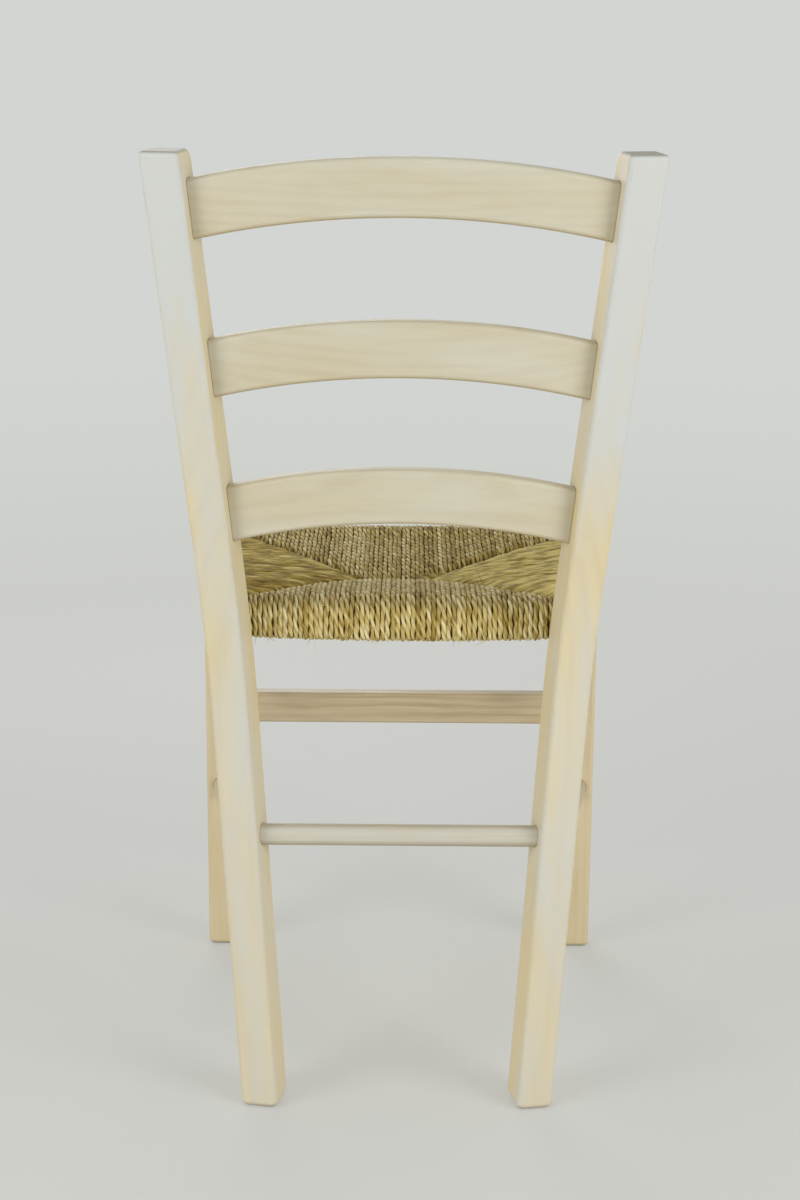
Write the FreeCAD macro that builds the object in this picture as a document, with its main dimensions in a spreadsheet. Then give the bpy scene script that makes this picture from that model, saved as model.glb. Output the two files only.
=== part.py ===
import FreeCAD, Part
import os
import Sketcher

# Ladderback chair in bleached beech with a rush seat.
#
# Frame of the model: millimetres, +Z up, the sitter looks along -Y, so the back posts stand at +Y.
# The sitter's left hand is +X. The origin is on the floor, under the middle of the chair's box.
#
# How the real chair goes together:
# two sawn, bent back posts carry three bowed and arched slats in mortises, and a round rear rung;
# two square front legs carry a flat front stretcher;
# two round rungs a side tie each front leg to the post behind it;
# four seat rails make a frame that is wound with rush in four mitred panels over straw packing.

# Driving sizes: name, value in millimetres or degrees, what it measures.
SIZES = (
    ("post_height", 880, "floor to the highest point of the back posts"),
    ("post_width", 34, "back post, across its back face"),
    ("post_depth", 42, "back post, front to back"),
    ("post_half_gap", 110, "middle of the chair to the inner face of a back post at the floor"),
    ("post_turn", 10.5, "how far each back post is turned to face the slat ends, degrees"),
    ("post_splay", 4.2, "how far each back post leans outward, degrees"),
    ("back_lean", 9.1, "how far a back post leans back above its knee, degrees"),
    ("knee_height", 442, "height of the bend in a back post"),
    ("knee_radius", 800, "radius of the bend on the back of a post"),
    ("foot_kick", 14, "how far the foot of a back post stands behind the knee"),
    ("post_top_tilt", 5.5, "backward slope of the top end of a back post, degrees"),
    ("post_top_round", 10, "rounding of the front edge of the top end"),
    ("wood_round", 4, "rounding of the long edges of posts and legs"),
    ("foot_round", 7, "rounding round the underside of each foot"),
    ("front_width", 430, "over the outer faces of the front legs"),
    ("leg_side", 35, "side of a square front leg"),
    ("leg_spacing", 380, "back of the posts at the knee to the rear faces of the front legs"),
    ("leg_height", 483, "floor to the top of the front legs"),
    ("slat_height", 50, "height of a back slat"),
    ("slat_thickness", 14, "thickness of a back slat"),
    ("slat_inset", 15, "back face of a slat inside the back face of its post"),
    ("slat_rise", 22, "arch of a slat from its ends to its middle"),
    ("slat_round", 4, "rounding of the long edges of a slat"),
    ("slat_top_drop", 30, "middle of the top slat below the top of the posts"),
    ("slat_lower_lift", 112, "middle of the lower slat above the top of the seat rails"),
    ("slat_middle_drop", 2.5, "middle slat below halfway between the other two"),
    ("slat_tenon_long", 18, "length of a slat's tenon"),
    ("slat_tenon_thick", 8, "thickness of a slat's tenon"),
    ("slat_tenon_tall", 36, "height of a slat's tenon"),
    ("stretcher_height", 34, "height of the flat front stretcher"),
    ("stretcher_thickness", 20, "thickness of the flat front stretcher"),
    ("stretcher_mid", 278, "height of the middle of the front stretcher"),
    ("stretcher_round", 3, "rounding of the long edges of the front stretcher"),
    ("rung_width", 20, "diameter of the round rungs"),
    ("rear_rung_mid", 261.5, "height of the middle of the rear rung"),
    ("side_rung_upper_mid", 335, "height of the middle of an upper side rung"),
    ("side_rung_lower_mid", 190, "height of the middle of a lower side rung"),
    ("rung_let_in", 18, "how far the end of a rung is let into a leg or post"),
    ("rung_chamfer", 1, "chamfer on the ends of a rung"),
    ("leg_proud", 10, "top of the front legs above the top of the seat rails"),
    ("rail_height", 28, "height of a seat rail"),
    ("rail_thickness", 18, "thickness of a seat rail"),
    ("rail_round", 5, "rounding of the long edges of a seat rail"),
    ("tenon_shoulder", 4, "shoulder round the tenons of rails and stretcher"),
    ("front_tenon_long", 22, "length of the tenons of front rail and front stretcher"),
    ("rail_tenon_long", 12, "length of the tenons of side and rear rails"),
    ("rush_thickness", 5, "thickness of the wound rush over the rails"),
    ("post_to_rush", 0.5, "clear space between the rear rush and the back posts"),
    ("seat_dip", 14, "how far the middle of the seat lies below its rim"),
    ("seat_underdip", 10, "how far the middle of the underside lies above its rim"),
    ("bridge_half", 25, "half the width over which the front and rear panels meet"),
    ("bridge_setback", 210, "back of the posts at the knee to the line where these panels meet"),
    ("valley_radius", 40, "radius across the valley along a mitre"),
    ("valley_depth", 0.5, "depth of that valley at its two ends"),
    ("panel_gap", 0.3, "space between two rush panels, and between rush and wood"),
    ("packing_setback", 40, "straw packing stops this far short of the middle of the seat"),
    ("packing_tip", 12, "thickness of the straw packing at its thin end"),
    ("packing_margin", 12, "straw packing stops this far short of the mitres, along its rail"),
    ("fit_gap", 0.15, "clearance round every tenon and at its shoulder"),
)

SIDES = (("left", 1), ("right", -1))
SLATS = ("slat_top", "slat_middle", "slat_lower")
SIDE_RUNGS = ("side_rung_upper", "side_rung_lower")

doc = FreeCAD.newDocument("LadderbackChair")
sizes = doc.addObject("Spreadsheet::Sheet", "Sizes")
places = doc.addObject("Spreadsheet::Sheet", "Places")
sheet_of = {}
nodes = {}


def enter(sheet, alias, text):
    """Write a value or a formula into the next row of a sheet and give it its name."""
    row = 1 + sum(1 for owner in sheet_of.values() if owner is sheet)
    sheet.set("A%d" % row, alias)
    sheet.set("B%d" % row, text)
    sheet.setAlias("B%d" % row, alias)
    sheet_of[alias] = sheet


def known(alias):
    """Read a size or place as a number; a leading minus turns its sign."""
    if alias.startswith("-"):
        return -known(alias[1:])
    value = getattr(sheet_of[alias], alias)
    return float(getattr(value, "Value", value))


def of(alias):
    """Write a size or place the way an expression names it."""
    if alias.startswith("-"):
        return "-" + of(alias[1:])
    return sheet_of[alias].Name + "." + alias


def at(x, y, z, turn="rotationz(0)"):
    """Write a placement formula from three lengths and a rotation."""
    return "placement(vector(%s; %s; %s); %s)" % (x, y, z, turn)


def place(alias, formula):
    """Add a derived place, a formula on sizes and on the places above it."""
    enter(places, alias, "=" + formula)
    places.recompute()


def finish_node(item, label):
    """Name the object that is one separate piece of the chair."""
    item.Label = label
    nodes[label] = item
    return item


def box(name, frame, low, size):
    """Make a box from its low corner in a frame and its three sizes, all formulas."""
    item = doc.addObject("Part::Box", name)
    for side, text in zip(("Length", "Width", "Height"), size):
        item.setExpression(side, text)
    item.setExpression("Placement", frame + " * " + at(*low))
    return item


def cylinder(name, frame, radius, length):
    """Make a cylinder about a frame's Z axis, half of its length to each side."""
    item = doc.addObject("Part::Cylinder", name)
    item.setExpression("Radius", radius)
    item.setExpression("Height", length)
    item.setExpression("Placement", frame + " * " + at("0", "0", "-(%s) / 2" % length))
    return item


def join(name, items):
    """Fuse several objects into one."""
    item = doc.addObject("Part::MultiFuse", name)
    item.Shapes = items
    return item


def overlap(name, items):
    """Keep what several objects have in common."""
    item = doc.addObject("Part::MultiCommon", name)
    item.Shapes = items
    return item


def cut(name, base, tools):
    """Take one or more tools away from an object."""
    item = doc.addObject("Part::Cut", name)
    item.Base = base
    item.Tool = tools[0] if len(tools) == 1 else join(name + "_tools", tools)
    return item


def edges_where(shape, test):
    """List the numbers of the edges that pass a test on their direction and middle point."""
    found = []
    for number, edge in enumerate(shape.Edges, 1):
        start = edge.valueAt(edge.FirstParameter)
        end = edge.valueAt(edge.LastParameter)
        middle = edge.valueAt((edge.FirstParameter + edge.LastParameter) / 2)
        if start.distanceToPoint(end) > 0 and test((end - start).normalize(), middle):
            found.append(number)
    return found


def round_edges(name, base, rules):
    """Round an object's edges; each takes the radius of the first rule whose test it passes."""
    doc.recompute()
    item = doc.addObject("Part::Fillet", name)
    item.Base = base
    taken = {}
    for radius, test in rules:
        for number in edges_where(base.Shape, test):
            taken.setdefault(number, radius)
    item.Edges = [(number, radius, radius) for number, radius in sorted(taken.items())]
    return item


def ease(name, base):
    """Round the long edges and the top of a post or leg, and its foot by its own radius."""
    sole = known("foot_round") / 2
    return round_edges(name, base, (
        (known("foot_round"), lambda direction, middle: middle.z < sole),
        (known("wood_round"), lambda direction, middle: middle.z > sole),
    ))


def origin_plane(body, role):
    """Find one of a body's own origin planes."""
    return [item for item in body.Origin.OriginFeatures if item.Role == role][0]


def new_sketch(body, name, role):
    """Start a sketch on one of the body's origin planes."""
    sketch = body.newObject("Sketcher::SketchObject", name)
    sketch.AttachmentSupport = [(origin_plane(body, role), "")]
    sketch.MapMode = "FlatFace"
    return sketch


def pin(sketch, line, corner, axis, alias):
    """Hold the start of a line at a named distance from the sketch's origin."""
    kind = "DistanceX" if axis == "x" else "DistanceY"
    if alias == "0":
        number = 0.0
    else:
        number = known(alias)
    held = sketch.addConstraint(Sketcher.Constraint(kind, -1, 1, line, 1, number))
    if alias != "0":
        name = "corner_%d_%s" % (corner, axis)
        sketch.renameConstraint(held, name)
        sketch.setExpression("Constraints." + name, of(alias))


def outline(body, name, role, corners, arcs={}):
    """Draw a closed outline through named corners.

    arcs maps a corner's number to the radius of the arc that leaves it, bulging away from the
    outline's inside when the corners run anticlockwise; every other side is a straight line.
    """
    sketch = new_sketch(body, name, role)
    points = []
    for across, up in corners:
        numbers = [0.0 if alias == "0" else known(alias) for alias in (across, up)]
        points.append(FreeCAD.Vector(numbers[0], numbers[1], 0))
    count = len(points)
    for side, start in enumerate(points):
        end = points[(side + 1) % count]
        if side in arcs:
            half = (end - start) * 0.5
            radius = known(arcs[side])
            rise = radius - max(radius**2 - half.Length**2, 0) ** 0.5
            outward = FreeCAD.Vector(half.y, -half.x, 0).normalize()
            sketch.addGeometry(Part.Arc(start, start + half + outward * rise, end), False)
        else:
            sketch.addGeometry(Part.LineSegment(start, end), False)
    for side in range(count):
        after = (side + 1) % count
        sketch.addConstraint(Sketcher.Constraint("Coincident", side, 2, after, 1))
    for side, (across, up) in enumerate(corners):
        pin(sketch, side, side, "x", across)
        pin(sketch, side, side, "y", up)
    for side, alias in arcs.items():
        held = sketch.addConstraint(Sketcher.Constraint("Radius", side, known(alias)))
        sketch.renameConstraint(held, "radius_%d" % side)
        sketch.setExpression("Constraints.radius_%d" % side, of(alias))
    return sketch


def pad(body, sketch, name, length, both_ways=True, backwards=False):
    """Pad a sketch by a length formula."""
    feature = body.newObject("PartDesign::Pad", name)
    feature.Profile = sketch
    feature.setExpression("Length", length)
    feature.Midplane = both_ways
    feature.Reversed = backwards
    body.Tip = feature
    return feature


def round_body(body, name, radius, test):
    """Round the edges of a body's last feature that pass a test."""
    doc.recompute()
    base = body.Tip
    feature = body.newObject("PartDesign::Fillet", name)
    feature.Base = (base, ["Edge%d" % number for number in edges_where(base.Shape, test)])
    feature.setExpression("Radius", radius)
    body.Tip = feature
    return feature


def section(name, width, height):
    """Name the corners of a rectangle about the origin, from formulas for its two sides."""
    place(name + "_across", "(%s) / 2" % width)
    place(name + "_up", "(%s) / 2" % height)
    across, up = name + "_across", name + "_up"
    return (("-" + across, "-" + up), (across, "-" + up), (across, up), ("-" + across, up))


def along_x(direction, middle):
    return abs(direction.x) > 0.99


def along_y(direction, middle):
    return abs(direction.y) > 0.99


def along_z(direction, middle):
    return abs(direction.z) > 0.9


for alias, value, note in SIZES:
    enter(sizes, alias, str(value))
doc.recompute()

# Back posts: lengths along the splayed post, and the post's own side view.
place("post_slant", "Sizes.post_height / cos(Sizes.post_splay)")
place("knee_slant", "Sizes.knee_height / cos(Sizes.post_splay)")
place("blank_low", "-Sizes.post_width")
place("blank_low_back", "Sizes.foot_kick * (knee_slant - blank_low) / knee_slant")
place("blank_low_front", "blank_low_back - Sizes.post_depth")
place("blank_high", "post_slant + Sizes.post_width")
place("blank_high_back", "(blank_high - knee_slant) * tan(Sizes.back_lean)")
place("blank_high_front", "blank_high_back - Sizes.post_depth")

# The chair's box in Y: the top of the posts reaches furthest back, the front legs furthest forward.
place("top_back", "(post_slant - knee_slant) * tan(Sizes.back_lean)")
place(
    "rear_reach",
    "top_back * cos(Sizes.post_turn) - post_slant * sin(Sizes.post_splay) * sin(Sizes.post_turn)",
)
place("front_reach", "Sizes.leg_spacing + Sizes.leg_side")
place("back_plane", "(front_reach - rear_reach) / 2")
place(
    "top_front_y",
    "back_plane + rear_reach - Sizes.post_depth * cos(Sizes.post_turn)"
    " - Sizes.post_width * sin(Sizes.post_turn)",
)

# Front legs.
place("leg_inner", "Sizes.front_width / 2 - Sizes.leg_side")
place("leg_mid_x", "Sizes.front_width / 2 - Sizes.leg_side / 2")
place("leg_rear_y", "back_plane - Sizes.leg_spacing")
place("leg_mid_y", "leg_rear_y - Sizes.leg_side / 2")
place("rail_top", "Sizes.leg_height - Sizes.leg_proud")
place("rail_mid", "rail_top - Sizes.rail_height / 2")


def post_point(name, height, across, behind):
    """Place a point of the left post from its height, and its place across and behind the knee.

    The post's frame is turned about Z and splayed about Y, so the point is carried through both.
    """
    place(name + "_slant", "(%s) / cos(Sizes.post_splay)" % height)
    slant = name + "_slant"
    place(
        name + "_bend",
        "%s > knee_slant ? (%s - knee_slant) * tan(Sizes.back_lean)"
        " : (knee_slant - %s) * Sizes.foot_kick / knee_slant" % (slant, slant, slant),
    )
    place(name + "_behind", "%s_bend + (%s)" % (name, behind))
    place(
        name + "_out",
        "(%s) * cos(Sizes.post_splay) + %s * sin(Sizes.post_splay)" % (across, slant),
    )
    place(
        name + "_x",
        "Sizes.post_half_gap + %s_out * cos(Sizes.post_turn) + %s_behind * sin(Sizes.post_turn)"
        % (name, name),
    )
    place(
        name + "_y",
        "back_plane - %s_out * sin(Sizes.post_turn) + %s_behind * cos(Sizes.post_turn)"
        % (name, name),
    )


def side_run(name, height):
    """Place the straight run from a front leg's rear face to the middle of a post's front face."""
    post_point(name + "_rear", height, "Sizes.post_width / 2", "-Sizes.post_depth")
    place(name + "_in", "leg_mid_x - %s_rear_x" % name)
    place(name + "_back", "%s_rear_y - leg_rear_y" % name)
    place(name + "_angle", "atan(%s_in / %s_back)" % (name, name))
    place(name + "_long", "sqrt(%s_in ^ 2 + %s_back ^ 2)" % (name, name))
    place(name + "_mid_x", "(leg_mid_x + %s_rear_x) / 2" % name)
    place(name + "_mid_y", "(leg_rear_y + %s_rear_y) / 2" % name)


def post_frame(hand):
    """Write the frame of a back post: its foot's inner back corner, turned and splayed."""
    turn = "rotationz(%d * Sizes.post_turn) * rotationy(%d * Sizes.post_splay)" % (-hand, hand)
    return at("%d * Sizes.post_half_gap" % hand, "Places.back_plane", "0", turn)


def side_frame(name, hand, height):
    """Write the frame at the middle of a side run, with its Y axis along the run."""
    turn = "rotationz(%d * Places.%s_angle)" % (hand, name)
    return at("%d * Places.%s_mid_x" % (hand, name), "Places.%s_mid_y" % name, height, turn)


side_run("side_rail", "rail_mid")
for rung in SIDE_RUNGS:
    side_run(rung, "Sizes.%s_mid" % rung)
post_point("rear_rung_end", "Sizes.rear_rung_mid", "0", "-Sizes.post_depth / 2")
post_point("seat_rear", "rail_mid", "Sizes.post_width", "-Sizes.post_depth")

# Seat plan: the rush rim lies one rush thickness outside the rails.
place("rim", "Sizes.rail_thickness / 2 + Sizes.rush_thickness")
place("rush_front_y", "leg_mid_y - rim")
place("rush_rear_y", "seat_rear_y - Sizes.post_to_rush")
place("rear_rail_y", "rush_rear_y - rim")
place("bridge_y", "back_plane - Sizes.bridge_setback")
place("rim_front_x", "leg_mid_x + rim / cos(side_rail_angle)")
place("rim_rear_x", "rim_front_x - (rush_rear_y - leg_rear_y) * tan(side_rail_angle)")
place(
    "rear_rail_end",
    "leg_mid_x - (rear_rail_y - leg_rear_y) * tan(side_rail_angle)"
    " - Sizes.rail_thickness / 2 / cos(side_rail_angle)",
)

# Seat heights: rim, nose rounding, and the middle where the panels meet.
place("rim_top", "rail_top + Sizes.rush_thickness")
place("rim_bottom", "rail_top - Sizes.rail_height - Sizes.rush_thickness")
place("nose", "Sizes.rail_round + Sizes.rush_thickness")
place("nose_top", "rim_top - nose")
place("nose_bottom", "rim_bottom + nose")
place("dip_top", "rim_top - Sizes.seat_dip")
place("dip_bottom", "rim_bottom + Sizes.seat_underdip")


def bar(label, frame, axis, section_sizes, lengths, radius):
    """Make a bar with a tenon at each end, about the middle of its frame.

    section_sizes are formulas for its width and height, lengths for shoulder to shoulder and
    end to end. The rounding of its long edges is a formula too.
    """
    role, test = ("YZ_Plane", along_x) if axis == "x" else ("XZ_Plane", along_y)
    width, height = section_sizes
    body = doc.addObject("PartDesign::Body", label + "_body")
    full = outline(body, label + "_section", role, section(label + "_full", width, height))
    pad(body, full, label + "_shank", lengths[0])
    round_body(body, label + "_edges", radius, test)
    slim = [text + " - 2 * Sizes.tenon_shoulder" for text in section_sizes]
    core = outline(body, label + "_core", role, section(label + "_tenon", *slim))
    pad(body, core, label + "_tenons", lengths[1])
    body.setExpression("Placement", frame)
    return finish_node(body, label)


def room(name, frame, axis, section_sizes, length, gap):
    """Make the box that a bar or its tenons need, with a gap all round."""
    width, height = [text + " + 2 * " + gap for text in section_sizes]
    extent = length + " + 2 * " + gap
    size = (extent, width, height) if axis == "x" else (width, extent, height)
    low = ["-(%s) / 2" % text for text in size]
    return box(name, frame, low, size)


def tenon_room(name, frame, axis, section_sizes, length):
    """Make the mortise that both tenons of a bar need."""
    slim = [text + " - 2 * Sizes.tenon_shoulder" for text in section_sizes]
    return room(name, frame, axis, slim, length, "Sizes.fit_gap")


def rung(label, frame, length):
    """Make a turned round rung along X or Y with chamfered ends, and the hole it needs."""
    body = doc.addObject("PartDesign::Body", label + "_body")
    sketch = new_sketch(body, label + "_section", "XY_Plane")
    sketch.addGeometry(Part.Circle(FreeCAD.Vector(), FreeCAD.Vector(0, 0, 1), 1), False)
    sketch.addConstraint(Sketcher.Constraint("Coincident", 0, 3, -1, 1))
    held = sketch.addConstraint(Sketcher.Constraint("Radius", 0, known("rung_width") / 2))
    sketch.renameConstraint(held, "radius")
    sketch.setExpression("Constraints.radius", "Sizes.rung_width / 2")
    shank = pad(body, sketch, label + "_shank", length)
    doc.recompute()
    ends = body.newObject("PartDesign::Chamfer", label + "_ends")
    ends.Base = (shank, ["Edge%d" % n for n, e in enumerate(shank.Shape.Edges, 1) if e.isClosed()])
    ends.setExpression("Size", "Sizes.rung_chamfer")
    body.Tip = ends
    body.setExpression("Placement", frame)
    hole = cylinder(label + "_hole", frame, "Sizes.rung_width / 2 + Sizes.fit_gap",
                    length + " + 2 * Sizes.fit_gap")
    return finish_node(body, label), hole


# Round rungs. A rung's length runs from face to face, plus what is let into the wood at each end.
rear_rung_frame = at("0", "Places.rear_rung_end_y", "Sizes.rear_rung_mid", "rotationy(90)")
rear_rung, rear_rung_hole = rung(
    "rear_rung", rear_rung_frame, "2 * (Places.rear_rung_end_x + Sizes.rung_let_in)"
)
side_holes = {"left": [], "right": []}
for side, hand in SIDES:
    for name in SIDE_RUNGS:
        frame = side_frame(name, hand, "Sizes.%s_mid" % name) + " * " + at(
            "0", "0", "0", "rotationx(90)"
        )
        hole = rung(name + "_" + side, frame, "Places.%s_long + 2 * Sizes.rung_let_in" % name)[1]
        side_holes[side].append(hole)

# Front stretcher and front rail, tenoned into the inner faces of the front legs.
stretcher_section = ("Sizes.stretcher_thickness", "Sizes.stretcher_height")
stretcher_frame = at("0", "Places.leg_mid_y", "Sizes.stretcher_mid")
between_legs = "2 * (Places.leg_inner - Sizes.fit_gap)"
into_legs = "2 * (Places.leg_inner + Sizes.front_tenon_long)"
bar("front_stretcher", stretcher_frame, "x", stretcher_section, (between_legs, into_legs),
    "Sizes.stretcher_round")
stretcher_mortise = tenon_room("stretcher_mortise", stretcher_frame, "x", stretcher_section,
                               into_legs)

rail_section = ("Sizes.rail_thickness", "Sizes.rail_height")
front_rail_frame = at("0", "Places.leg_mid_y", "Places.rail_mid")
bar("seat_rail_front", front_rail_frame, "x", rail_section, (between_legs, into_legs),
    "Sizes.rail_round")
front_rail_mortise = tenon_room("front_rail_mortise", front_rail_frame, "x", rail_section, into_legs)
front_rail_room = room("front_rail_room", front_rail_frame, "x", rail_section, into_legs,
                       "Sizes.panel_gap")

# Rear rail, tenoned into the inner faces of the side rails.
rear_rail_frame = at("0", "Places.rear_rail_y", "Places.rail_mid")
place("rear_rail_slack", "Sizes.rail_thickness / 2 * tan(side_rail_angle) + Sizes.fit_gap")
between_side_rails = "2 * (Places.rear_rail_end - Places.rear_rail_slack)"
into_side_rails = "2 * (Places.rear_rail_end + Sizes.rail_tenon_long)"
bar("seat_rail_rear", rear_rail_frame, "x", rail_section, (between_side_rails, into_side_rails),
    "Sizes.rail_round")
rear_rail_mortise = tenon_room("rear_rail_mortise", rear_rail_frame, "x", rail_section,
                               into_side_rails)
rear_rail_room = room("rear_rail_room", rear_rail_frame, "x", rail_section, between_side_rails,
                      "Sizes.panel_gap")

# Side rails, tenoned into the rear faces of the legs and the front faces of the posts. Their
# shoulders stop short by the slope of the faces that they meet.
place("side_rail_slack",
      "Sizes.rail_thickness / 2 * tan(side_rail_angle + Sizes.post_turn * 1deg) + Sizes.fit_gap")
side_shoulders = "Places.side_rail_long - 2 * Places.side_rail_slack"
side_ends = "Places.side_rail_long + 2 * Sizes.rail_tenon_long"
side_rail_mortises = {}
side_rail_rooms = {}
for side, hand in SIDES:
    frame = side_frame("side_rail", hand, "Places.rail_mid")
    label = "seat_rail_" + side
    plain = bar(label, frame, "y", rail_section, (side_shoulders, side_ends), "Sizes.rail_round")
    plain.Label = label + "_plain"
    finish_node(cut(label + "_mortised", plain, [rear_rail_mortise]), label)
    side_rail_mortises[side] = tenon_room(label + "_mortise", frame, "y", rail_section, side_ends)
    side_rail_rooms[side] = room(label + "_room", frame, "y", rail_section, side_ends,
                                 "Sizes.panel_gap")

# Front legs: square, rounded, with their feet flat on the floor.
for side, hand in SIDES:
    label = "front_leg_" + side
    body = doc.addObject("PartDesign::Body", label + "_body")
    square = section(label, "Sizes.leg_side", "Sizes.leg_side")
    pad(body, outline(body, label + "_section", "XY_Plane", square), label + "_shank",
        "Sizes.leg_height", both_ways=False)
    body.setExpression(
        "Placement", at("%d * Places.leg_mid_x" % hand, "Places.leg_mid_y", "0")
    )
    eased = ease(label + "_eased", body)
    tools = [stretcher_mortise, front_rail_mortise, side_rail_mortises[side]] + side_holes[side]
    finish_node(cut(label + "_mortised", eased, tools), label)

# Slats. Each slat is bent to an arc in plan and sawn to an arch, in a frame that leans with the
# posts. Its ends are square to the posts' inner faces, so the bow's radius follows from the turn.
place(
    "slat_lean",
    "atan((tan(Sizes.back_lean) * cos(Sizes.post_turn)"
    " - sin(Sizes.post_splay) * sin(Sizes.post_turn)) / cos(Sizes.post_splay))",
)
place("slat_top_mid", "Sizes.post_height - Sizes.slat_top_drop")
place("slat_lower_mid", "rail_top + Sizes.slat_lower_lift")
place("slat_middle_mid", "(slat_top_mid + slat_lower_mid) / 2 - Sizes.slat_middle_drop")
slat_tenon_rooms = {"left": [], "right": []}
for label in SLATS:
    place(label + "_foot", "%s_mid - Sizes.slat_rise * cos(slat_lean)" % label)
    post_point(label, label + "_foot", "0", "-Sizes.slat_inset")
    place(label + "_bow", "%s_x / sin(Sizes.post_turn)" % label)
    place(label + "_arch",
          "(%s_x ^ 2 + Sizes.slat_rise ^ 2) / (2 * Sizes.slat_rise)" % label)
    place(label + "_reach", "%s_x + Sizes.slat_tenon_long" % label)
    place(label + "_stretch", "4 * Sizes.slat_height")
    frame = at("0", "Places.%s_y" % label, "Places.%s_foot" % label,
               "rotationx(-Places.slat_lean)")
    bow_centre = frame + " * " + at(
        "0", "-Places.%s_bow * cos(Sizes.post_turn)" % label, "0"
    )
    arch_centre = frame + " * " + at(
        "0", "0", "Sizes.slat_rise - Places.%s_arch" % label, "rotationx(-90)"
    )
    stretch = "Places.%s_stretch" % label
    blank = box(
        label + "_blank", frame,
        ("-Places.%s_reach" % label, "-%s / 2" % stretch, "-Sizes.slat_height"),
        ("2 * Places.%s_reach" % label, stretch, "2 * Sizes.slat_height + Sizes.slat_rise"),
    )
    bow_back = cylinder(label + "_bow_back", bow_centre, "Places.%s_bow" % label, stretch)
    bow_front = cylinder(label + "_bow_front", bow_centre,
                         "Places.%s_bow - Sizes.slat_thickness" % label, stretch)
    arch_top = cylinder(label + "_arch_top", arch_centre,
                        "Places.%s_arch + Sizes.slat_height / 2" % label, stretch)
    arch_bottom = cylinder(label + "_arch_bottom", arch_centre,
                           "Places.%s_arch - Sizes.slat_height / 2" % label, stretch)
    sawn = cut(label + "_sawn", overlap(label + "_bent", [blank, bow_back, arch_top]),
               [bow_front, arch_bottom])
    waste, tenons = [], []
    for side, hand in SIDES:
        end_frame = post_frame(hand) + " * " + at(
            "0", "Places.%s_behind - Sizes.slat_thickness / 2" % label,
            "Places.%s_slant" % label, "rotationx(-Sizes.back_lean)"
        )
        depth = "3 * Sizes.slat_tenon_long"
        across = "-Sizes.fit_gap" if hand > 0 else "Sizes.fit_gap - %s" % depth
        waste.append(box(label + "_waste_" + side, end_frame,
                         (across, "-%s / 2" % stretch, "-%s / 2" % stretch),
                         (depth, stretch, stretch)))
        root = "Sizes.slat_thickness / 2"
        across = "-" + root if hand > 0 else "-Sizes.slat_tenon_long"
        tenons.append(box(label + "_tenon_" + side, end_frame,
                          (across, "-Sizes.slat_tenon_thick / 2", "-Sizes.slat_tenon_tall / 2"),
                          ("Sizes.slat_tenon_long + " + root, "Sizes.slat_tenon_thick",
                           "Sizes.slat_tenon_tall")))
        across = "-" + root if hand > 0 else "-Sizes.slat_tenon_long - Sizes.fit_gap"
        slat_tenon_rooms[side].append(
            box(label + "_mortise_" + side, end_frame,
                (across, "-Sizes.slat_tenon_thick / 2 - Sizes.fit_gap",
                 "-Sizes.slat_tenon_tall / 2 - Sizes.fit_gap"),
                ("Sizes.slat_tenon_long + Sizes.fit_gap + " + root,
                 "Sizes.slat_tenon_thick + 2 * Sizes.fit_gap",
                 "Sizes.slat_tenon_tall + 2 * Sizes.fit_gap")))
    shouldered = cut(label + "_shouldered", sawn, waste)
    rounded = round_edges(label + "_rounded", shouldered, (
        (known("slat_round"), lambda direction, middle: abs(direction.x) > 0.9),
    ))
    finish_node(join(label + "_tenoned", [rounded] + tenons), label)

# Back posts: one sawn profile with its knee, trimmed level at the foot and sloped at the top.
over_all = "2 * Sizes.post_height"
floor_trim = box("floor_trim", at("0", "0", "0"),
                 ("-%s / 2" % over_all, "-%s / 2" % over_all, "-%s" % over_all),
                 (over_all, over_all, over_all))
top_trim = box("top_trim",
               at("0", "Places.top_front_y", "Sizes.post_height",
                  "rotationx(-Sizes.post_top_tilt)"),
               ("-%s / 2" % over_all, "-%s / 2" % over_all, "0"),
               (over_all, over_all, over_all))
for side, hand in SIDES:
    label = "rear_post_" + side
    body = doc.addObject("PartDesign::Body", label + "_body")
    place(label + "_knee_front", "-Sizes.post_depth")
    profile = outline(
        body, label + "_profile", "YZ_Plane",
        (
            ("blank_low_front", "blank_low"),
            ("blank_low_back", "blank_low"),
            ("0", "knee_slant"),
            ("blank_high_back", "blank_high"),
            ("blank_high_front", "blank_high"),
            (label + "_knee_front", "knee_slant"),
        ),
    )
    pad(body, profile, label + "_plank", "Sizes.post_width", False, hand < 0)
    knee = known("knee_slant")
    near_knee = known("post_width")
    middle_depth = -known("post_depth") / 2
    round_body(body, label + "_knee_back", "Sizes.knee_radius",
               lambda direction, middle: along_x(direction, middle)
               and abs(middle.z - knee) < near_knee and middle.y > middle_depth)
    round_body(body, label + "_knee_belly", "Sizes.knee_radius + Sizes.post_depth",
               lambda direction, middle: along_x(direction, middle)
               and abs(middle.z - knee) < near_knee and middle.y < middle_depth)
    body.setExpression("Placement", post_frame(hand))
    trimmed = cut(label + "_trimmed", body, [floor_trim, top_trim])
    crown = known("post_height") - known("post_width")
    top_front = known("top_front_y") + known("post_depth") / 2
    nosed = round_edges(label + "_nosed", trimmed, (
        (known("post_top_round"), lambda direction, middle: middle.z > crown
         and middle.y < top_front and abs(direction.x) > 0.9),
    ))
    eased = ease(label + "_eased", nosed)
    tools = [rear_rung_hole, side_rail_mortises[side]] + side_holes[side] + slat_tenon_rooms[side]
    finish_node(cut(label + "_mortised", eased, tools), label)

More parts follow.
